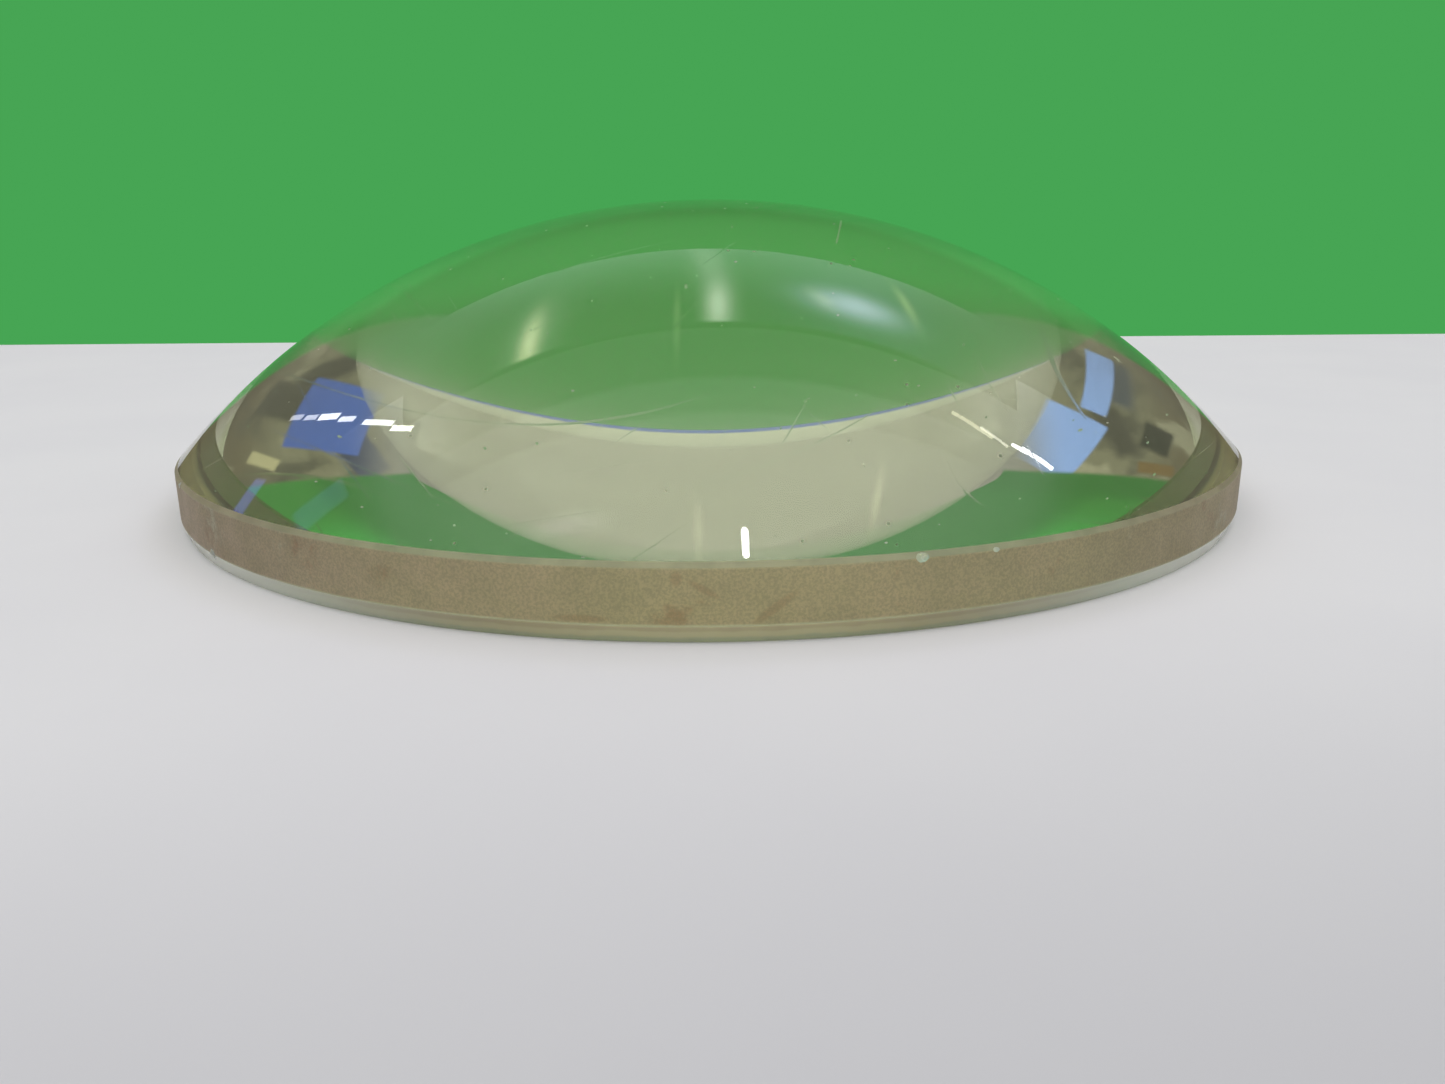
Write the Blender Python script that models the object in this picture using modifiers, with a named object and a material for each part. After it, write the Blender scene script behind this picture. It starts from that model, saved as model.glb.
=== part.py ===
"""A plano-convex condenser lens: one turned piece of clear optical glass, lying on its flat face.

Metres, +Z up. The origin is the centre of the flat face, and +Z is the optical axis, up through
the dome. The outline is turned round Z from one half profile.
"""

import math

import bpy

# Driving dimensions
DIAMETER = 0.1016  # over the ground edge
CENTRE_THICKNESS = 0.0276  # from the flat face to the top of the dome
DOME_RADIUS = 0.0684  # radius of the polished spherical face
RIM_BEVEL_RADIAL = 0.0003  # narrow ground bevel between the dome and the edge
RIM_BEVEL_HEIGHT = 0.00035
FOOT_BEVEL_RADIAL = 0.00045  # steeper ground bevel between the edge and the flat face
FOOT_BEVEL_HEIGHT = 0.0012

# How finely the turned surface is divided
TURN_STEPS = 96
DOME_STEPS = 20
MERGE_DISTANCE = 0.00005
SHARP_ANGLE = math.radians(20)

# The glass: clear, with a faint straw tint
GLASS_COLOUR = (0.80, 0.82, 0.68, 1.0)
GLASS_ROUGHNESS = 0.03
GLASS_INDEX = 1.50

OBJECT_NAME = "condenser_lens"
LENS_NAME = "lens"


def clear_scene():
    """Removes the objects that the file opened with."""
    for old in list(bpy.data.objects):
        bpy.data.objects.remove(old, do_unlink=True)


def dome_point(angle):
    """The point (radius, height) on the dome, at an angle from the axis seen from its centre."""
    centre_height = CENTRE_THICKNESS - DOME_RADIUS
    return DOME_RADIUS * math.sin(angle), centre_height + DOME_RADIUS * math.cos(angle)


def half_profile():
    """The lens's half outline as (radius, height), from the top of the dome to the base centre."""
    edge_radius = DIAMETER / 2
    rim_angle = math.asin((edge_radius - RIM_BEVEL_RADIAL) / DOME_RADIUS)
    points = [dome_point(rim_angle * i / DOME_STEPS) for i in range(DOME_STEPS + 1)]
    rim_height = points[-1][1]
    points.append((edge_radius, rim_height - RIM_BEVEL_HEIGHT))
    points.append((edge_radius, FOOT_BEVEL_HEIGHT))
    points.append((edge_radius - FOOT_BEVEL_RADIAL, 0.0))
    points.append((0.0, 0.0))
    return points


def glass_material():
    """Clear glass with a faint straw tint."""
    material = bpy.data.materials.new("clear_glass")
    material.use_nodes = True
    shader = material.node_tree.nodes["Principled BSDF"]
    shader.inputs["Base Color"].default_value = GLASS_COLOUR
    shader.inputs["Metallic"].default_value = 0.0
    shader.inputs["Roughness"].default_value = GLASS_ROUGHNESS
    shader.inputs["IOR"].default_value = GLASS_INDEX
    shader.inputs["Transmission Weight"].default_value = 1.0
    return material


def turned_lens(collection):
    """The lens: its half profile at +X, turned once round Z."""
    points = half_profile()
    mesh = bpy.data.meshes.new(LENS_NAME)
    corners = [(radius, 0.0, height) for radius, height in points]
    edges = [(i, i + 1) for i in range(len(points) - 1)]
    mesh.from_pydata(corners, edges, [])
    mesh.materials.append(glass_material())
    lens = bpy.data.objects.new(LENS_NAME, mesh)
    collection.objects.link(lens)

    turn = lens.modifiers.new("turn", "SCREW")
    turn.axis = "Z"
    turn.steps = TURN_STEPS
    turn.render_steps = TURN_STEPS
    turn.use_merge_vertices = True
    turn.merge_threshold = MERGE_DISTANCE
    turn.use_smooth_shade = True
    return lens


def shade_by_angle(lens):
    """Keeps the bevels' corners crisp while the dome and the edge shade smooth."""
    finished = bpy.data.meshes.new_from_object(lens.evaluated_get(bpy.context.evaluated_depsgraph_get()))
    finished.shade_smooth()
    finished.set_sharp_from_angle(angle=SHARP_ANGLE)
    lens.modifiers.clear()
    lens.data = finished
    finished.name = LENS_NAME


def main():
    clear_scene()
    collection = bpy.data.collections.new(OBJECT_NAME)
    bpy.context.scene.collection.children.link(collection)
    lens = turned_lens(collection)
    shade_by_angle(lens)


main()
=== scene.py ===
"""Looks of a plano-convex condenser lens: its fine surface, glass, ground edge, dust and studio.

Metres, +Z up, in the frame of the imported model: the lens lies on its flat face at z = 0.
"""
import math
import random

import bmesh
import bpy
from mathutils import Matrix, Vector


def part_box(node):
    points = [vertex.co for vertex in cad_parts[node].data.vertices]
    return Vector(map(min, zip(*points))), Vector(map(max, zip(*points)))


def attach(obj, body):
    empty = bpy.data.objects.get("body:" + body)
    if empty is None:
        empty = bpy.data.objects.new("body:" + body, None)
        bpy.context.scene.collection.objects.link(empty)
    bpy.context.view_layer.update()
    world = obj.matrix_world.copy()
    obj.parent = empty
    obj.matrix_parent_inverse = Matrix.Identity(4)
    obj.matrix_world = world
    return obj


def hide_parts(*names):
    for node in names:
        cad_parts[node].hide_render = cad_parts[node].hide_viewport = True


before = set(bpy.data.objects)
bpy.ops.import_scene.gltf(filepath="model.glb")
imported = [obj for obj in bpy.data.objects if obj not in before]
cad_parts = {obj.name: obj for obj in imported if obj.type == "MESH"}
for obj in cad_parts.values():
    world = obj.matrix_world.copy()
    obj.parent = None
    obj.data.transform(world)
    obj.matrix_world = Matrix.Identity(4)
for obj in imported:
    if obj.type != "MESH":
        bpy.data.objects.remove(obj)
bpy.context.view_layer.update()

# The lens, in metres: the box comes from the frame, the rest repeats the part's own dimensions
MM = 0.001
BOX_LOW, BOX_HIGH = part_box("lens")
RADIUS = (BOX_HIGH[0] - BOX_LOW[0]) / 2
TOP = BOX_HIGH[2]
DOME_RADIUS = 68.4 * MM
RIM_BEVEL_RADIAL, RIM_BEVEL_HEIGHT = 0.3 * MM, 0.35 * MM
FOOT_BEVEL_RADIAL, FOOT_BEVEL_HEIGHT = 0.45 * MM, 1.2 * MM
RIM_RADIUS = RADIUS - RIM_BEVEL_RADIAL
RIM_ANGLE = math.asin(RIM_RADIUS / DOME_RADIUS)
RIM_HEIGHT = TOP - DOME_RADIUS * (1 - math.cos(RIM_ANGLE))
EDGE_TOP = RIM_HEIGHT - RIM_BEVEL_HEIGHT

# How finely the visible surface is divided
ROUNDS = 288
DOME_RINGS = 110
EDGE_RINGS = 6
FLAT_RINGS = 10
ON_AXIS = 1e-9  # a ring smaller than this is a single point

# The glass
GLASS_INDEX = 1.50
TINT_KEPT = (0.82, 0.93, 0.15)  # what the volume keeps of red, green and blue
TINT_DENSITY = 3.5  # per metre
POLISHED, GROUND, RIM, FOOT, CHIPPED = range(5)

# Small shell-shaped chips along the rim and the foot
CHIP_SEED = 11
RIM_CHIPS, FOOT_CHIPS = 9, 5
CHIP_BALL = (0.35 * MM, 1.1 * MM)  # radius of the ball that scoops a chip out, least and most
CHIP_BITE = 0.32  # how deep the ball goes in, as a share of its radius
CHIP_LUMPS = (0.97, 1.03)  # each corner of the ball moves to a share of its radius between these
# The number of chips, the edge's height, and the way out from the edge: outward and up
CHIP_EDGES = (
    (RIM_CHIPS, EDGE_TOP, (0.9, 0.44)),
    (FOOT_CHIPS, FOOT_BEVEL_HEIGHT, (0.97, -0.24)),
)

# The paper under the lens leaves it this air gap
REST_GAP = 0.05 * MM


class Nodes:
    """A node tree, with short calls for the nodes that this script uses."""

    def __init__(self, tree):
        self.tree = tree

    def add(self, kind, **settings):
        made = self.tree.nodes.new("ShaderNode" + kind)
        for name, value in settings.items():
            setattr(made, name, value)
        return made

    def plug(self, socket, value):
        """Links an output to an input, or sets the input's own value. A colour is red, green and blue."""
        if isinstance(value, bpy.types.NodeSocket):
            self.tree.links.new(value, socket)
        elif socket.type == "RGBA":
            socket.default_value = (*value, 1.0)
        else:
            socket.default_value = value

    def math(self, operation, *values, clamp=False):
        made = self.add("Math", operation=operation, use_clamp=clamp)
        for socket, value in zip(made.inputs, values):
            self.plug(socket, value)
        return made.outputs[0]

    def vector(self, operation, *values):
        made = self.add("VectorMath", operation=operation)
        for socket, value in zip(made.inputs, values):
            self.plug(socket, value)
        return made

    def place(self):
        """The point on the object, in metres."""
        return self.add("TexCoord").outputs["Object"]

    def split(self, vector):
        made = self.add("SeparateXYZ")
        self.plug(made.inputs[0], vector)
        return made.outputs

    def join(self, x, y, z):
        made = self.add("CombineXYZ")
        for socket, value in zip(made.inputs, (x, y, z)):
            self.plug(socket, value)
        return made.outputs[0]

    def noise(self, vector, size, detail=2.0, rough=0.5, offset=0.0):
        """Noise from 0 to 1 whose lumps are about size metres across. The offset picks another pattern."""
        moved = self.vector("ADD", vector, (offset, offset, offset)).outputs[0]
        made = self.add("TexNoise")
        self.plug(made.inputs["Vector"], moved)
        self.plug(made.inputs["Scale"], 1.0 / size)
        self.plug(made.inputs["Detail"], detail)
        self.plug(made.inputs["Roughness"], rough)
        return made.outputs["Fac"]

    def spread(self, value, low, high, to_low=0.0, to_high=1.0):
        """Maps low to high onto another range, smoothly and clamped."""
        made = self.add("MapRange", interpolation_type="SMOOTHSTEP")
        for name, number in (("Value", value), ("From Min", low), ("From Max", high),
                             ("To Min", to_low), ("To Max", to_high)):
            self.plug(made.inputs[name], number)
        return made.outputs["Result"]

    def blend(self, share, first, second):
        """A colour between two colours."""
        made = self.add("Mix", data_type="RGBA")
        self.plug(made.inputs["Factor"], share)
        for socket, value in (("A", first), ("B", second)):
            self.plug(next(s for s in made.inputs if s.name == socket and s.type == "RGBA"), value)
        return next(s for s in made.outputs if s.type == "RGBA")

    def bump(self, height, depth, strength=1.0):
        made = self.add("Bump")
        self.plug(made.inputs["Height"], height)
        self.plug(made.inputs["Distance"], depth)
        self.plug(made.inputs["Strength"], strength)
        return made.outputs["Normal"]


def new_material(name):
    """A material, its nodes and its Principled shader."""
    material = bpy.data.materials.new(name)
    material.use_nodes = True
    nodes = Nodes(material.node_tree)
    return material, nodes, material.node_tree.nodes["Principled BSDF"].inputs


def tint_volume(material):
    """The faint straw tint that grows with the light's way through the glass."""
    nodes = material.node_tree.nodes
    absorption = nodes.new("ShaderNodeVolumeAbsorption")
    absorption.inputs["Color"].default_value = (*TINT_KEPT, 1)
    absorption.inputs["Density"].default_value = TINT_DENSITY
    material.node_tree.links.new(absorption.outputs[0], nodes["Material Output"].inputs["Volume"])


# The polished faces: hairline scratches, grains of dust and smears
HAIRLINE_WIDTH = 0.35 * MM
HAIRLINE_STRETCH = 0.012  # the noise is squeezed to this share along a scratch, which makes it long
SPECK_CELL, SPECK_RADIUS = 2.0 * MM, 0.13 * MM
SCRATCH_DEPTH, SCRATCH_ROUGH = 0.0007 * MM, 0.20
POLISHED_COLOUR, POLISHED_CLEAR, SMEAR_ROUGH = (1, 1, 0.95), 0.985, 0.04


def hairlines(nodes, place, angle, offset):
    """Thin straight scratches that run one way, as a mask from 0 to 1."""
    across = (math.cos(angle), math.sin(angle), 0.0)
    along = (-math.sin(angle), math.cos(angle), 0.0)
    u = nodes.vector("DOT_PRODUCT", place, across).outputs["Value"]
    v = nodes.vector("DOT_PRODUCT", place, along).outputs["Value"]
    stretched = nodes.join(u, nodes.math("MULTIPLY", v, HAIRLINE_STRETCH), offset)
    lines = nodes.noise(stretched, HAIRLINE_WIDTH, detail=0.0)
    return nodes.spread(lines, 0.81, 0.85)


def specks(nodes, place, cell, radius, offset):
    """Round specks scattered over the surface, up to one in each cell, as a mask from 0 to 1."""
    moved = nodes.vector("ADD", place, (offset, offset, offset)).outputs[0]
    cells = nodes.add("TexVoronoi")
    nodes.plug(cells.inputs["Vector"], moved)
    nodes.plug(cells.inputs["Scale"], 1.0 / cell)
    size = nodes.spread(nodes.split(cells.outputs["Color"])[0], 0.3, 1.0, 0.35, 1.0)
    reach = nodes.math("MULTIPLY", size, radius / cell)
    return nodes.math("LESS_THAN", cells.outputs["Distance"], reach)


def polished_glass():
    """Clear polished glass with hairline scratches, greasy smears and grains of dust."""
    material, nodes, glass = new_material("polished_glass")
    place = nodes.place()
    nodes.plug(glass["Base Color"], POLISHED_COLOUR)
    nodes.plug(glass["IOR"], GLASS_INDEX)
    nodes.plug(glass["Transmission Weight"], POLISHED_CLEAR)
    smear = nodes.noise(place, 14 * MM, detail=4.0, rough=0.6, offset=3.1)
    haze = nodes.spread(smear, 0.60, 0.80, 0.0, SMEAR_ROUGH)
    scratch = 0.0
    for angle, offset in ((0.4, 1.3), (1.9, 4.7), (2.6, 8.2)):
        scratch = nodes.math("MAXIMUM", scratch, hairlines(nodes, place, angle, offset))
    dust = specks(nodes, place, SPECK_CELL, SPECK_RADIUS, 0.4)
    rough = nodes.math("ADD", haze, nodes.math("MULTIPLY", scratch, SCRATCH_ROUGH))
    nodes.plug(glass["Roughness"], nodes.math("MAXIMUM", rough, dust))
    nodes.plug(glass["Normal"], nodes.bump(scratch, SCRATCH_DEPTH))
    tint_volume(material)
    return material


# The ground edge: its colours, how much light goes in, and painted highlight lines along its two sharp edges
EDGE_RED, EDGE_TAN, EDGE_OLIVE = (0.67, 0.430, 0.36), (0.66, 0.520, 0.320), (0.46, 0.385, 0.24)
EDGE_STAIN, EDGE_SCUFF, EDGE_GRAIN = (0.44, 0.21, 0.12), (0.76, 0.72, 0.58), (0.27, 0.21, 0.14)
EDGE_CLEAR, EDGE_ROUGH, EDGE_RELIEF = 0.55, (0.50, 0.68), 0.05 * MM
GRAIN_SIZE, GRIND_MARK_SIZE = 0.18 * MM, 0.12 * MM
EDGE_HIGHLIGHT_COLOUR = (0.80, 0.77, 0.58)
EDGE_HIGHLIGHT_LINES = ((EDGE_TOP, 0.25), (FOOT_BEVEL_HEIGHT, 0.65))  # the height and the strength

# Reddish stains on the front of the ground edge: the way along the edge, the height, the half length
# and the half height, in mm, and the slope
STAINS = (
    (-1.9, 4.3, 0.35, 0.45, 0.0),
    (-0.2, 3.6, 0.9, 0.26, -0.55),
    (-8.0, 1.6, 1.7, 0.22, 0.0),
    (4.2, 2.3, 1.3, 0.35, 0.7),
)


def stain_mask(nodes, along, z):
    """The listed stains, with soft edges, as a mask from 0 to 1."""
    mask = 0.0
    for way, height, length, thickness, slope in STAINS:
        out = nodes.math("SUBTRACT", along, way * MM)
        up = nodes.math("SUBTRACT", z, height * MM)
        up = nodes.math("SUBTRACT", up, nodes.math("MULTIPLY", out, slope))
        out = nodes.math("DIVIDE", out, length * MM)
        up = nodes.math("DIVIDE", up, thickness * MM)
        far = nodes.math("ADD", nodes.math("MULTIPLY", out, out), nodes.math("MULTIPLY", up, up))
        mask = nodes.math("MAXIMUM", mask, nodes.spread(far, 1.8, 0.2))
    return mask


def ground_glass():
    """The fine-ground edge, tan with old polishing residue, with stains and scuffs, and painted highlight
    lines along its two sharp edges.
    """
    material, nodes, glass = new_material("ground_edge")
    place = nodes.place()
    x, y, z = nodes.split(place)
    drift = nodes.spread(nodes.noise(place, 26 * MM, detail=2.0, offset=5.2), 0.30, 0.70, 0.0, 0.5)
    drift = nodes.math("ADD", drift, nodes.spread(x, -0.95 * RADIUS, -0.1 * RADIUS, 0.0, 0.5))
    colour = nodes.blend(drift, EDGE_RED, EDGE_TAN)
    mottle = nodes.noise(place, 4 * MM, detail=6.0, rough=0.65)
    colour = nodes.blend(nodes.spread(mottle, 0.3, 0.7, 0.0, 0.45), colour, EDGE_OLIVE)
    turn = nodes.math("ARCTAN2", x, nodes.math("MULTIPLY", y, -1.0))
    stain = nodes.spread(nodes.noise(place, 6 * MM, detail=6.0, rough=0.7, offset=7.7), 0.58, 0.70)
    marked = nodes.math("MULTIPLY", stain_mask(nodes, nodes.math("MULTIPLY", turn, RADIUS), z), 0.6)
    stain = nodes.math("MAXIMUM", stain, marked)
    colour = nodes.blend(nodes.math("MULTIPLY", stain, 0.75), colour, EDGE_STAIN)
    scuff = nodes.spread(nodes.noise(place, 8 * MM, detail=7.0, rough=0.75, offset=2.2), 0.58, 0.70)
    colour = nodes.blend(nodes.math("MULTIPLY", scuff, 0.7), colour, EDGE_SCUFF)
    grain = nodes.noise(place, GRAIN_SIZE, detail=2.0, rough=0.6)
    colour = nodes.blend(nodes.spread(grain, 0.35, 0.65, 0.0, 0.45), colour, EDGE_GRAIN)
    # Painted highlight: a pale line along each sharp edge, standing in for the light a rounded edge would
    # catch
    for line, strength in EDGE_HIGHLIGHT_LINES:
        away = nodes.math("ABSOLUTE", nodes.math("SUBTRACT", z, line))
        away = nodes.math("ADD", away, nodes.math("MULTIPLY", mottle, 0.12 * MM))
        highlight = nodes.spread(away, 0.20 * MM, 0.10 * MM, 0.0, strength)
        colour = nodes.blend(highlight, colour, EDGE_HIGHLIGHT_COLOUR)
    nodes.plug(glass["Base Color"], colour)
    nodes.plug(glass["IOR"], GLASS_INDEX)
    nodes.plug(glass["Transmission Weight"], EDGE_CLEAR)
    nodes.plug(glass["Roughness"], nodes.spread(mottle, 0.3, 0.7, *EDGE_ROUGH))
    round_edge = nodes.join(nodes.math("MULTIPLY", turn, 2 * MM), z, 0.0)
    marks = nodes.noise(round_edge, GRIND_MARK_SIZE, detail=1.0)
    height = nodes.math("ADD", nodes.math("MULTIPLY", grain, 0.7), nodes.math("MULTIPLY", marks, 0.3))
    nodes.plug(glass["Normal"], nodes.bump(height, EDGE_RELIEF))
    tint_volume(material)
    return material


def bevel_glass(name, dark, light, clear, rough, texture):
    """Glass ground finer than the edge and cleaner. Its colour and roughness wander between two values."""
    material, nodes, glass = new_material(name)
    place = nodes.place()
    mottle = nodes.noise(place, 3 * MM, detail=4.0, rough=0.6)
    nodes.plug(glass["Base Color"], nodes.blend(nodes.spread(mottle, 0.35, 0.65), dark, light))
    nodes.plug(glass["IOR"], GLASS_INDEX)
    nodes.plug(glass["Transmission Weight"], clear)
    nodes.plug(glass["Roughness"], nodes.spread(mottle, 0.3, 0.7, *rough))
    nodes.plug(glass["Normal"], nodes.bump(nodes.noise(place, 0.2 * MM), texture))
    tint_volume(material)
    return material


def rim_glass():
    """The rim bevel, close to the edge's tan."""
    dark, light = (0.48, 0.415, 0.290), (0.61, 0.530, 0.370)
    return bevel_glass("ground_rim", dark, light, clear=0.55, rough=(0.38, 0.52), texture=0.012 * MM)


# The foot bevel's colours: a painted shade at the flat face, then in bands that fade in between two heights
# in mm
FOOT_CONTACT_SHADE, FOOT_SIDE_REFLECTION = (0.44, 0.44, 0.35), (0.96, 0.94, 0.92)
FOOT_BANDS = (
    (0.20, 0.50, (0.60, 0.52, 0.37)),
    (0.70, 0.90, (0.53, 0.42, 0.30)),
)
# A painted highlight line at the top of the foot bevel, between two heights in mm
FOOT_TOP_HIGHLIGHT = (1.05, 1.15, (0.66, 0.59, 0.42))
FOOT_CLEAR, FOOT_ROUGH = 0.5, (0.16, 0.26)


def foot_glass():
    """The foot bevel, smooth enough to mirror the paper: painted shade in grey-green below, tan above with a
    painted highlight line at its top, and a painted reflection of the paper pale at the sides.
    """
    material, nodes, glass = new_material("ground_foot")
    place = nodes.place()
    x, _, z = nodes.split(place)
    mottle = nodes.noise(place, 3 * MM, detail=4.0, rough=0.6)
    waver = nodes.math("MULTIPLY", nodes.math("SUBTRACT", mottle, 0.5), 0.5 * MM)
    height = nodes.math("ADD", z, waver)
    # Painted shade: the lowest part, where the bevel meets the paper, is darker
    colour = FOOT_CONTACT_SHADE
    for low, high, tone in FOOT_BANDS:
        colour = nodes.blend(nodes.spread(height, low * MM, high * MM), colour, tone)
    low, high, tone = FOOT_TOP_HIGHLIGHT
    colour = nodes.blend(nodes.spread(z, low * MM, high * MM), colour, tone)
    # Painted reflection: pale at the sides, where the bevel mirrors the bright paper beside it
    beside = nodes.spread(nodes.math("ABSOLUTE", x), 0.25 * RADIUS, 0.75 * RADIUS)
    colour = nodes.blend(beside, colour, FOOT_SIDE_REFLECTION)
    nodes.plug(glass["Base Color"], colour)
    nodes.plug(glass["IOR"], GLASS_INDEX)
    nodes.plug(glass["Transmission Weight"], FOOT_CLEAR)
    nodes.plug(glass["Roughness"], nodes.spread(mottle, 0.3, 0.7, *FOOT_ROUGH))
    tint_volume(material)
    return material


def chip_glass():
    """The hollows of the chips, almost clear."""
    dark, light = (0.92, 0.92, 0.88), (1.0, 1.0, 0.97)
    return bevel_glass("chipped_glass", dark, light, clear=0.65, rough=(0.20, 0.50), texture=0.02 * MM)


def lens_outline():
    """Half the outline from the top of the dome down to the base centre: radius, height, finish."""
    outline = []
    for i in range(DOME_RINGS + 1):
        angle = RIM_ANGLE * i / DOME_RINGS
        outline.append((DOME_RADIUS * math.sin(angle), TOP - DOME_RADIUS * (1 - math.cos(angle)), POLISHED))
    outline.append((RADIUS, EDGE_TOP, RIM))
    for i in range(1, EDGE_RINGS + 1):
        outline.append((RADIUS, EDGE_TOP + (FOOT_BEVEL_HEIGHT - EDGE_TOP) * i / EDGE_RINGS, GROUND))
    flat_radius = RADIUS - FOOT_BEVEL_RADIAL
    outline.append((flat_radius, 0.0, FOOT))
    for i in range(1, FLAT_RINGS + 1):
        outline.append((flat_radius * (1 - i / FLAT_RINGS), 0.0, POLISHED))
    return outline


def turned_mesh(name, outline, rounds):
    """A closed mesh of an outline turned round Z, each ring of faces with its own finish."""
    shape = bmesh.new()
    rings = []
    for radius, height, _ in outline:
        count = rounds if radius > ON_AXIS else 1
        turns = [math.tau * k / rounds for k in range(count)]
        rings.append([shape.verts.new((radius * math.cos(turn), radius * math.sin(turn), height))
                      for turn in turns])
    for upper, lower, (_, _, finish) in zip(rings, rings[1:], outline[1:]):
        for k in range(rounds):
            after = (k + 1) % rounds
            corners = [upper[k % len(upper)], lower[k % len(lower)],
                       lower[after % len(lower)], upper[after % len(upper)]]
            face = shape.faces.new(list(dict.fromkeys(corners)))
            face.material_index = finish
            face.smooth = True
    mesh = bpy.data.meshes.new(name)
    shape.to_mesh(mesh)
    shape.free()
    return mesh


def chip_places():
    """Where balls scoop chips out of the sharp edges: the ball's radius and middle."""
    random.seed(CHIP_SEED)
    places = []
    for count, height, outward in CHIP_EDGES:
        for _ in range(count):
            ball = CHIP_BALL[0] + (CHIP_BALL[1] - CHIP_BALL[0]) * random.random() ** 2
            turn = math.tau * random.random()
            off = ball * (1 - CHIP_BITE)
            radius = RADIUS + off * outward[0]
            middle = (radius * math.cos(turn), radius * math.sin(turn), height + off * outward[1])
            places.append((ball, middle))
    return places


def scoop_chips(lens):
    """Cuts the chips out of the lens with slightly lumpy balls."""
    shape = bmesh.new()
    for ball, middle in chip_places():
        made = bmesh.ops.create_icosphere(shape, subdivisions=3, radius=ball)
        for vertex in made["verts"]:
            vertex.co = vertex.co * random.uniform(*CHIP_LUMPS) + Vector(middle)
    for face in shape.faces:
        face.material_index = CHIPPED
        face.smooth = True
    mesh = bpy.data.meshes.new("chips")
    shape.to_mesh(mesh)
    shape.free()
    for material in lens.data.materials:
        mesh.materials.append(material)
    cutter = bpy.data.objects.new("chips", mesh)
    bpy.context.scene.collection.objects.link(cutter)
    cut = lens.modifiers.new("chips", "BOOLEAN")
    cut.operation = "DIFFERENCE"
    cut.object = cutter
    seen = lens.evaluated_get(bpy.context.evaluated_depsgraph_get())
    chipped = bpy.data.meshes.new_from_object(seen)
    lens.modifiers.clear()
    lens.data = chipped
    bpy.data.objects.remove(cutter)


def mark_finish_edges(mesh):
    """A sharp edge wherever one finish meets another, so that each keeps its own true normals."""
    shape = bmesh.new()
    shape.from_mesh(mesh)
    for edge in shape.edges:
        edge.smooth = len({face.material_index for face in edge.link_faces}) == 1
    shape.to_mesh(mesh)
    shape.free()


def make_lens():
    mesh = turned_mesh("glass_lens", lens_outline(), ROUNDS)
    for material in (polished_glass(), ground_glass(), rim_glass(), foot_glass(), chip_glass()):
        mesh.materials.append(material)
    lens = bpy.data.objects.new("glass_lens", mesh)
    bpy.context.scene.collection.objects.link(lens)
    scoop_chips(lens)
    mark_finish_edges(lens.data)
    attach(lens, "root")
    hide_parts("lens")


# The studio, in lens radii: the pale table ends a little in front of the green wall
TABLE_BACK, TABLE_REACH = 2.8, 30
FRINGE = 0.20  # this much of the table's far edge is blue when seen through the glass, like a colour fringe
WALL_BACK, WALL_SIDE, WALL_TOP, WALL_FOOT, WALL_CORNER = 3.8, 3.95, 4.28, -0.6, 0.25
CORNER_STEPS = 8

# The table's colours: its even tone, a painted shade nearer the camera, and, as seen through the glass, a
# painted shade on its far part and a painted blue colour fringe at its edge
PAPER_DARK, PAPER_LIGHT, PAPER_NEAR_SHADE = (0.815, 0.805, 0.82), (0.835, 0.825, 0.835), (0.565, 0.560, 0.580)
PAPER_THROUGH_SHADE, PAPER_FRINGE = (0.655, 0.70, 0.56), (0.07, 0.17, 0.60)
NEAR_SHADE_SKEW = 0.2  # the darker near part begins this much further back per unit of x


def floor_paper():
    """Plain pale paper, with painted shade darkening it towards the camera. For light through the glass its
    far part has painted shade and its far edge a painted blue colour fringe.
    """
    material, nodes, paper = new_material("floor_paper")
    place = nodes.place()
    tone = nodes.spread(nodes.noise(place, 30 * MM, detail=3.0), 0.3, 0.7)
    colour = nodes.blend(tone, PAPER_DARK, PAPER_LIGHT)
    x, y, _ = nodes.split(place)
    passed = nodes.add("LightPath").outputs["Is Transmission Ray"]
    # Painted shadow: the paper darkens towards the camera
    forward = nodes.math("SUBTRACT", y, nodes.math("MULTIPLY", x, NEAR_SHADE_SKEW))
    near_shade = nodes.spread(forward, -0.95 * RADIUS, -2.30 * RADIUS)
    colour = nodes.blend(near_shade, colour, PAPER_NEAR_SHADE)
    # Painted shade on the paper behind the lens, seen only through the glass
    far = nodes.spread(y, 1.25 * RADIUS, 1.7 * RADIUS)
    colour = nodes.blend(nodes.math("MULTIPLY", far, passed), colour, PAPER_THROUGH_SHADE)
    # Painted colour fringe: the table's far edge turns blue, seen only through the glass
    edge = nodes.math("GREATER_THAN", y, (TABLE_BACK - FRINGE) * RADIUS)
    colour = nodes.blend(nodes.math("MULTIPLY", edge, passed), colour, PAPER_FRINGE)
    nodes.plug(paper["Base Color"], colour)
    nodes.plug(paper["Roughness"], 0.9)
    return material


def make_floor():
    reach = TABLE_REACH * RADIUS
    corners = [(-reach, -reach), (reach, -reach), (reach, TABLE_BACK * RADIUS), (-reach, TABLE_BACK * RADIUS)]
    mesh = bpy.data.meshes.new("floor")
    mesh.from_pydata([(x, y, -REST_GAP) for x, y in corners], [], [(0, 1, 2, 3)])
    mesh.materials.append(floor_paper())
    floor = bpy.data.objects.new("floor", mesh)
    bpy.context.scene.collection.objects.link(floor)


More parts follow.
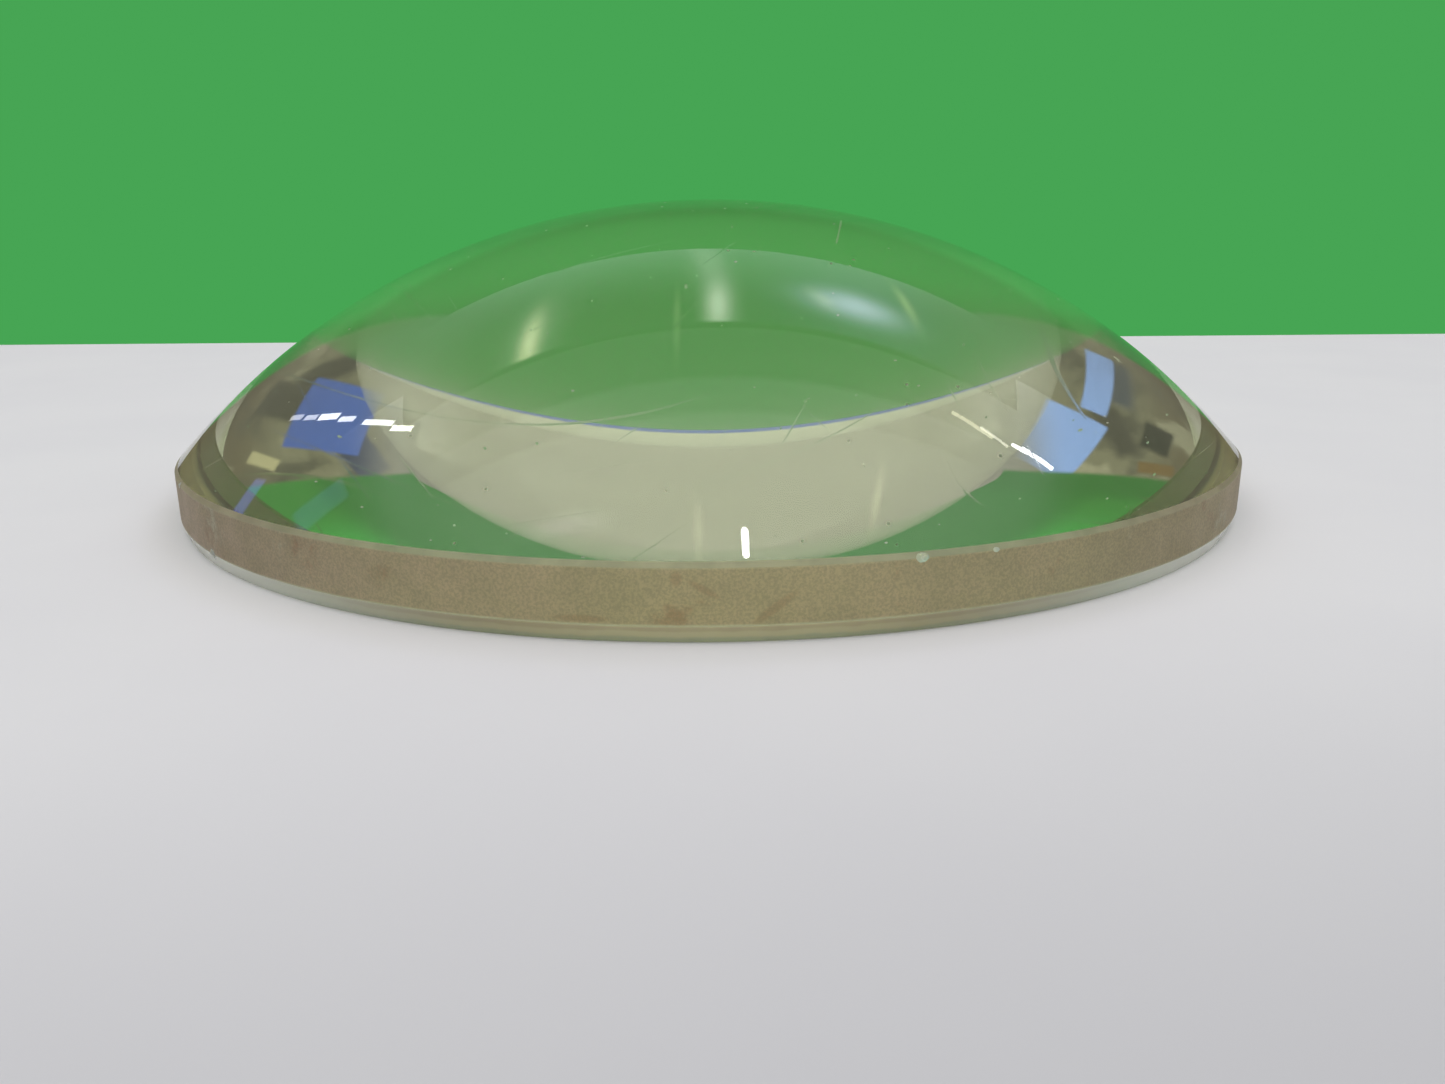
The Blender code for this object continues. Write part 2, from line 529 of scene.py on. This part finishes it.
# Soft panels on the side walls that show only through the glass, in lens radii and degrees: the wall's side,
# the middle in y and z, half the length and width, the soft edge, the tilt from +Y and the colour
COOL, BRIGHT = (0.075, 0.145, 0.56), (0.29, 0.45, 1.05)
SLATE, DARK = (0.08, 0.095, 0.13), (0.075, 0.075, 0.06)
INK, NAVY = (0.035, 0.040, 0.028), (0.05, 0.065, 0.13)
TAN, CREAM = (0.20, 0.135, 0.055), (0.52, 0.49, 0.33)
PANELS = (
    (1, (1.65, 1.20), (0.70, 0.50), 0.20, 70, DARK),
    (1, (3.02, 0.95), (0.40, 0.20), 0.10, 60, CREAM),
    (-1, (2.62, 0.88), (0.40, 0.40), 0.15, 20, INK),
    (-1, (3.36, 0.90), (0.19, 0.45), 0.10, 0, TAN),
    (1, (1.05, 1.85), (0.75, 0.42), 0.30, 120, DARK),
    (1, (3.10, 3.05), (0.72, 0.44), 0.15, 35, NAVY),
    (1, (2.12, 2.32), (0.84, 0.86), 0.08, -12, COOL),
    (-1, (1.40, 1.35), (0.70, 0.40), 0.30, 20, SLATE),
    (-1, (2.55, 1.70), (0.75, 0.42), 0.30, 160, DARK),
    (-1, (2.82, 2.95), (0.92, 0.72), 0.08, 33, BRIGHT),
    (-1, (1.40, 1.80), (0.80, 0.31), 0.08, 27, BRIGHT),
)

# Pale strips on a side wall that show only as reflections on the outside of the glass, given like the panels
STRIPS = (
    (-1, (1.02, 1.70), (0.27, 0.14), 0.07, 46, (0.55, 0.60, 1.90)),
    (-1, (0.14, 2.70), (0.45, 0.24), 0.10, 80, (0.35, 0.45, 1.00)),
)


def panel_mask(nodes, y, z, middle, half, edge, tilt):
    """A soft-edged rectangle on a side wall, as a mask from 0 to 1."""
    cos, sin = math.cos(math.radians(tilt)), math.sin(math.radians(tilt))
    y = nodes.math("SUBTRACT", y, middle[0] * RADIUS)
    z = nodes.math("SUBTRACT", z, middle[1] * RADIUS)
    along = nodes.math("ADD", nodes.math("MULTIPLY", y, cos), nodes.math("MULTIPLY", z, sin))
    across = nodes.math("SUBTRACT", nodes.math("MULTIPLY", z, cos), nodes.math("MULTIPLY", y, sin))
    inside = [nodes.spread(nodes.math("ABSOLUTE", place), size * RADIUS, (size - edge) * RADIUS)
              for place, size in ((along, half[0]), (across, half[1]))]
    return nodes.math("MULTIPLY", *inside)


# The ceiling. In front of the lens it is bright, in three tones that meet at fairly sharp steps
EDGE_TILT = 0.05  # the bright front ends along a slightly tilted line
CEILING_FRONT, CEILING_MIDDLE = (1.40, 1.40, 1.38), (0.68, 0.68, 0.66)
CEILING_INNER, CEILING_SHADE = (0.27, 0.27, 0.24), (0.07, 0.07, 0.02)
CEILING_OVERHEAD = (0.12, 0.11, 0.09)
CEILING_BACK, CEILING_BACK_SIDES = (0.54, 0.54, 0.60), (0.26, 0.26, 0.25)
CEILING_FAR_FRONT, CEILING_FRONT_SIDES = (0.84, 0.86, 0.96), (0.95, 0.96, 0.96)
CEILING_FAR_SIDES = (0.20, 0.21, 0.23)


def ceiling_light(nodes, u, v):
    """The ceiling's light at slopes x / z and y / z: bright in front of the lens, dim overhead and behind."""
    side = nodes.math("ABSOLUTE", u)
    v = nodes.math("SUBTRACT", v, nodes.math("MULTIPLY", u, EDGE_TILT))
    back = nodes.blend(nodes.spread(v, 0.5, 1.3), CEILING_OVERHEAD, CEILING_BACK)
    back = nodes.blend(nodes.spread(side, 0.4, 1.0), back, CEILING_BACK_SIDES)
    front = nodes.blend(nodes.spread(v, -0.1, 0.47), CEILING_FRONT, CEILING_SHADE)
    steps = nodes.blend(nodes.spread(v, 0.195, 0.235), CEILING_MIDDLE, CEILING_INNER)
    steps = nodes.blend(nodes.spread(v, 0.435, 0.45), steps, CEILING_SHADE)
    front = nodes.blend(nodes.spread(v, 0.07, 0.11), front, steps)
    front = nodes.blend(nodes.spread(v, -1.6, -0.5), CEILING_FAR_FRONT, front)
    front = nodes.blend(nodes.spread(side, 0.55, 0.95), front, CEILING_FRONT_SIDES)
    light = nodes.blend(nodes.spread(v, 0.445, 0.465), front, back)
    return nodes.blend(nodes.spread(side, 0.98, 1.6), light, CEILING_FAR_SIDES)


# The side walls: low and high, where light through the glass finds them duller or paler, and in front
SIDE_LOW, SIDE_HIGH, SIDE_DULL = (0.15, 0.13, 0.085), (0.225, 0.22, 0.165), (0.11, 0.11, 0.085)
SIDE_PALE, SIDE_FRONT = (0.36, 0.35, 0.28), (0.47, 0.46, 0.43)

# The green wall: as it is, and as light through the glass finds it, with painted shade low down and duller at
# the ends
GREEN, GREEN_THROUGH, GREEN_LOW_SHADE = (0.063, 0.375, 0.088), (0.065, 0.345, 0.083), (0.055, 0.272, 0.060)
GREEN_ENDS, GREEN_FAR_LEFT = (0.050, 0.250, 0.050), (0.036, 0.180, 0.036)
GREEN_HIGH = (0.040, 0.200, 0.042)  # near its top, seen through the glass or mirrored


def side_colour(nodes, place, passed, mirrored):
    """The side and front walls: olive grey, pale grey in front, and lit like the ceiling at the top."""
    x, y, z = nodes.split(place)
    side = nodes.blend(nodes.spread(z, 0.2 * RADIUS, 1.4 * RADIUS), SIDE_LOW, SIDE_HIGH)
    uneven = nodes.noise(place, 1.1 * RADIUS, detail=3.0, offset=1.7)
    dull = nodes.math("MULTIPLY", nodes.spread(uneven, 0.50, 0.35), passed)
    side = nodes.blend(dull, side, SIDE_DULL)
    pale = nodes.math("MULTIPLY", nodes.spread(uneven, 0.54, 0.68), passed)
    side = nodes.blend(pale, side, SIDE_PALE)
    for panels, shown in ((PANELS, passed), (STRIPS, mirrored)):
        for wall, middle, half, edge, tilt, tone in panels:
            mask = nodes.math("MULTIPLY", panel_mask(nodes, y, z, middle, half, edge, tilt), shown)
            on_wall = nodes.spread(x, wall * 3.4 * RADIUS, wall * 3.6 * RADIUS)
            mask = nodes.math("MULTIPLY", mask, on_wall)
            side = nodes.blend(mask, side, tone)
    side = nodes.blend(nodes.spread(y, -2.6 * RADIUS, -0.4 * RADIUS), SIDE_FRONT, side)
    height = nodes.math("MAXIMUM", z, 0.1 * RADIUS)
    ceiling = ceiling_light(nodes, nodes.math("DIVIDE", x, height), nodes.math("DIVIDE", y, height))
    return nodes.blend(nodes.spread(z, 2.7 * RADIUS, 4.2 * RADIUS), side, ceiling)


def green_colour(nodes, place, passed, mirrored):
    """The wall behind the lens."""
    x, _, z = nodes.split(place)
    # Painted shade: seen through the glass, the wall is darker low down
    low = nodes.math("MULTIPLY", nodes.spread(z, 1.3 * RADIUS, 0.8 * RADIUS), passed)
    ends = nodes.spread(nodes.math("ABSOLUTE", x), 2.3 * RADIUS, 3.1 * RADIUS)
    green = nodes.blend(passed, GREEN, GREEN_THROUGH)
    green = nodes.blend(low, green, GREEN_LOW_SHADE)
    green = nodes.blend(nodes.math("MULTIPLY", ends, passed), green, GREEN_ENDS)
    either = nodes.math("MAXIMUM", passed, mirrored)
    high = nodes.math("MULTIPLY", nodes.spread(z, 1.6 * RADIUS, 2.3 * RADIUS), either)
    green = nodes.blend(high, green, GREEN_HIGH)
    far_left = nodes.math("MULTIPLY", nodes.spread(x, -3.1 * RADIUS, -3.6 * RADIUS), passed)
    return nodes.blend(far_left, green, GREEN_FAR_LEFT)


def wall_paint():
    """Evenly glowing walls, whose tones differ for light through the glass and light mirrored on it."""
    material, nodes, paint = new_material("wall_paint")
    place = nodes.place()
    x, y, _ = nodes.split(place)
    path = nodes.add("LightPath").outputs
    passed = path["Is Transmission Ray"]
    mirrored = nodes.math("MULTIPLY", path["Is Glossy Ray"], nodes.math("SUBTRACT", 1.0, passed))
    side = side_colour(nodes, place, passed, mirrored)
    green = green_colour(nodes, place, passed, mirrored)
    corner = nodes.spread(nodes.math("ABSOLUTE", x), 3.25 * RADIUS, 3.50 * RADIUS)
    green = nodes.blend(nodes.math("MULTIPLY", corner, mirrored), green, side)
    colour = nodes.blend(nodes.spread(y, 3.56 * RADIUS, 3.68 * RADIUS), side, green)
    nodes.plug(paint["Base Color"], (0.0, 0.0, 0.0))
    nodes.plug(paint["Roughness"], 1.0)
    nodes.plug(paint["Specular IOR Level"], 0.0)
    nodes.plug(paint["Emission Color"], colour)
    nodes.plug(paint["Emission Strength"], 1.0)
    return material


def make_walls():
    """Evenly lit walls all round the table, with rounded corners."""
    turning = []
    for x, y, start in ((1, 1, 0), (-1, 1, 90), (-1, -1, 180), (1, -1, 270)):
        middle_x = x * (WALL_SIDE - WALL_CORNER)
        middle_y = y * ((WALL_BACK if y > 0 else WALL_SIDE) - WALL_CORNER)
        for i in range(CORNER_STEPS + 1):
            angle = math.radians(start + 90 * i / CORNER_STEPS)
            corner = (middle_x + WALL_CORNER * math.cos(angle), middle_y + WALL_CORNER * math.sin(angle))
            turning.append(corner)
    count = len(turning)
    heights = (WALL_FOOT, WALL_TOP)
    points = [(x * RADIUS, y * RADIUS, z * RADIUS) for z in heights for x, y in turning]
    faces = [(i, i + count, (i + 1) % count + count, (i + 1) % count) for i in range(count)]
    mesh = bpy.data.meshes.new("walls")
    mesh.from_pydata(points, [], faces)
    mesh.materials.append(wall_paint())
    walls = bpy.data.objects.new("walls", mesh)
    bpy.context.scene.collection.objects.link(walls)
    walls.visible_diffuse = False
    walls.visible_shadow = False


def soft_patch(nodes, u, v, middle, size, lean, strength, colour):
    """A patch of light in the sky that fades out from its middle. Places are slopes: x / z and y / z."""
    up = nodes.math("SUBTRACT", v, middle[1])
    across = nodes.math("SUBTRACT", nodes.math("SUBTRACT", u, middle[0]), nodes.math("MULTIPLY", up, lean))
    across = nodes.math("DIVIDE", across, size[0])
    along = nodes.math("DIVIDE", up, size[1])
    far = nodes.math("ADD", nodes.math("MULTIPLY", across, across), nodes.math("MULTIPLY", along, along))
    glow = nodes.math("MULTIPLY", nodes.math("EXPONENT", nodes.math("MULTIPLY", far, -1.0)), strength)
    made = nodes.vector("SCALE", colour)
    nodes.plug(made.inputs["Scale"], glow)
    return made.outputs[0]


# Soft lamps in the sky: the middle and the size as slopes, the lean, the strength and the colour.
# Those at the back end where the ceiling's bright front begins.
BACK_LAMPS = (
    ((0.016, 0.55), (0.028, 0.15), 0.0, 3.4, (1.0, 1.0, 0.88)),
    ((0.010, 0.75), (0.042, 0.40), -0.08, 0.85, (1.0, 1.0, 0.95)),
    ((-0.447, 0.51), (0.028, 0.165), 0.066, 3.9, (1.1, 1.0, 0.62)),
    ((-0.44, 0.56), (0.070, 0.20), 0.07, 0.9, (1.0, 1.0, 0.9)),
    ((0.355, 0.695), (0.110, 0.090), 0.0, 2.9, (1.0, 1.0, 1.45)),
    ((0.38, 0.72), (0.220, 0.350), 0.0, 0.9, (0.25, 0.25, 0.50)),
    ((0.27, 0.69), (0.025, 0.060), -0.3, 0.8, (1.0, 1.0, 0.5)),
    ((0.51, 0.85), (0.018, 0.130), -0.12, 1.0, (1.0, 1.0, 0.5)),
)
BACK_LAMPS_BEGIN = (0.465, 0.485)  # the slopes y / z between which they fade in
FRONT_LAMPS = (
    ((-0.385, -0.235), (0.10, 0.035), -0.4, 1.3, (1.0, 1.0, 1.0)),
    ((-0.032, -0.31), (0.013, 0.09), 0.0, 1.7, (1.0, 1.0, 0.6)),
    ((0.433, -0.14), (0.013, 0.09), 0.0, 2.2, (1.0, 1.0, 0.6)),
    ((-0.078, 0.50), (0.008, 0.16), 0.0, 0.6, (1.0, 1.0, 0.6)),
)


def make_world():
    """A soft studio ceiling, with a few soft lamps that show on the outside of the glass."""
    world = bpy.data.worlds.new("studio")
    bpy.context.scene.world = world
    world.use_nodes = True
    nodes = Nodes(world.node_tree)
    x, y, z = nodes.split(nodes.add("TexCoord").outputs["Generated"])
    height = nodes.math("MAXIMUM", z, 0.02)
    u, v = nodes.math("DIVIDE", x, height), nodes.math("DIVIDE", y, height)
    light = ceiling_light(nodes, u, v)
    lamps = (0.0, 0.0, 0.0)
    for patch in BACK_LAMPS:
        lamps = nodes.vector("ADD", lamps, soft_patch(nodes, u, v, *patch)).outputs[0]
    cut = nodes.vector("SCALE", lamps)
    beyond = nodes.math("SUBTRACT", v, nodes.math("MULTIPLY", u, EDGE_TILT))
    nodes.plug(cut.inputs["Scale"], nodes.spread(beyond, *BACK_LAMPS_BEGIN))
    lamps = cut.outputs[0]
    for patch in FRONT_LAMPS:
        lamps = nodes.vector("ADD", lamps, soft_patch(nodes, u, v, *patch)).outputs[0]
    outside = nodes.vector("SCALE", lamps)
    passed = nodes.add("LightPath").outputs["Is Transmission Ray"]
    nodes.plug(outside.inputs["Scale"], nodes.math("SUBTRACT", 1.0, passed))
    light = nodes.vector("ADD", light, outside.outputs[0]).outputs[0]
    nodes.plug(world.node_tree.nodes["Background"].inputs["Color"], light)


def make_area(name, matrix, size, radiance, colour=(1, 1, 1), shape="RECTANGLE"):
    lamp = bpy.data.lights.new(name, "AREA")
    lamp.shape = shape
    lamp.size, lamp.size_y = size
    area = size[0] * size[1] * (math.pi / 4 if shape == "DISK" else 1)
    lamp.energy = radiance * math.pi * area
    lamp.color = colour
    light = bpy.data.objects.new(name, lamp)
    light.matrix_world = matrix
    light.visible_camera = False
    bpy.context.scene.collection.objects.link(light)
    return light


def make_tube(name, start, end, width, radiance, colour=(1, 1, 1)):
    """A tube lamp between two points, in lens radii, that only shows as a glint on the glass."""
    start, end = Vector(start) * RADIUS, Vector(end) * RADIUS
    middle, along = (start + end) / 2, end - start
    back = middle.normalized()
    right = (along - along.dot(back) * back).normalized()
    turn = Matrix((right, back.cross(right), back)).transposed().to_4x4()
    size = (along.length, width * RADIUS)
    light = make_area(name, Matrix.Translation(middle) @ turn, size, radiance, colour)
    light.visible_diffuse = False
    light.visible_transmission = False
    light.data.cycles.max_bounces = 1


# Tube lamps: the two ends in lens radii, the width, the radiance and the colour
WHITE, WARM, YELLOW = (1.0, 1.0, 1.0), (1.0, 1.0, 0.85), (1.0, 0.97, 0.66)
TUBES = (
    ((0.91, -3.90, 10), (0.98, -4.72, 10), 0.20, 30, WHITE),
    ((0.905, -3.82, 10), (0.91, -3.90, 10), 0.13, 30, WHITE),
    ((0.98, -4.72, 10), (0.985, -4.80, 10), 0.13, 30, WHITE),
    ((-3.8, 2.07, 2.09), (-3.8, 1.94, 2.29), 0.07, 3, WHITE),
    ((-3.8, 1.90, 2.33), (-3.8, 1.78, 2.53), 0.07, 4, WHITE),
    ((-3.8, 1.76, 2.58), (-3.8, 1.59, 2.89), 0.09, 10, WHITE),
    ((-3.8, 1.53, 2.92), (-3.8, 1.40, 3.17), 0.08, 8, WHITE),
    ((-3.8, 1.28, 3.37), (-3.8, 1.03, 3.86), 0.09, 12, WHITE),
    ((-3.8, 0.95, 3.91), (-3.8, 0.80, 4.25), 0.10, 18, WARM),
    ((3.8, 0.74, 5.49), (3.8, 0.55, 4.81), 0.09, 5, YELLOW),
    ((3.8, 0.54, 4.79), (3.8, 0.41, 4.35), 0.06, 6, WARM),
    ((3.8, 0.40, 4.12), (3.8, 0.37, 3.91), 0.08, 20, WHITE),
    ((3.8, 0.35, 3.85), (3.8, 0.28, 3.42), 0.09, 24, WHITE),
)


# The round soft key lamp above and a little behind the lens, in metres
KEY_PLACE, KEY_SIZE = (0.0, 0.10, 0.50), (0.6, 0.6)
KEY_RADIANCE, KEY_COLOUR = 0.39, (0.98, 0.99, 1.03)


def make_lights():
    make_world()
    key = make_area("key_softbox", Matrix.Translation(KEY_PLACE), KEY_SIZE, KEY_RADIANCE, KEY_COLOUR, "DISK")
    key.visible_glossy = False
    for number, tube in enumerate(TUBES, start=1):
        make_tube(f"tube_{number}", *tube)


# The camera: a phone-like wide lens close in front, in lens radii and degrees
CAMERA_LENS, CAMERA_SENSOR = 28, 36
CAMERA_DISTANCE, CAMERA_SIDE, CAMERA_ELEVATION = 2.346, 0.014, 12.22
CAMERA_PITCH, CAMERA_YAW, CAMERA_ROLL = 15.80, 0.23, -0.42


def direction(azimuth, elevation):
    """A unit vector: azimuth in degrees from +Y towards +X, elevation above the horizon."""
    a, e = math.radians(azimuth), math.radians(elevation)
    return Vector((math.sin(a) * math.cos(e), math.cos(a) * math.cos(e), math.sin(e)))


def make_camera():
    data = bpy.data.cameras.new("camera")
    data.lens, data.sensor_width = CAMERA_LENS, CAMERA_SENSOR
    data.clip_start = 5 * MM
    camera = bpy.data.objects.new("camera", data)
    place = direction(180, CAMERA_ELEVATION) * CAMERA_DISTANCE + Vector((CAMERA_SIDE, 0, 0))
    turn = (Matrix.Rotation(math.radians(-CAMERA_YAW), 4, "Z")
            @ Matrix.Rotation(math.radians(90 - CAMERA_PITCH), 4, "X")
            @ Matrix.Rotation(math.radians(CAMERA_ROLL), 4, "Z"))
    camera.matrix_world = Matrix.Translation(place * RADIUS) @ turn
    bpy.context.scene.collection.objects.link(camera)
    bpy.context.scene.camera = camera


make_lens()
make_floor()
make_walls()
make_lights()
make_camera()
bpy.context.scene.view_settings.view_transform = "Standard"
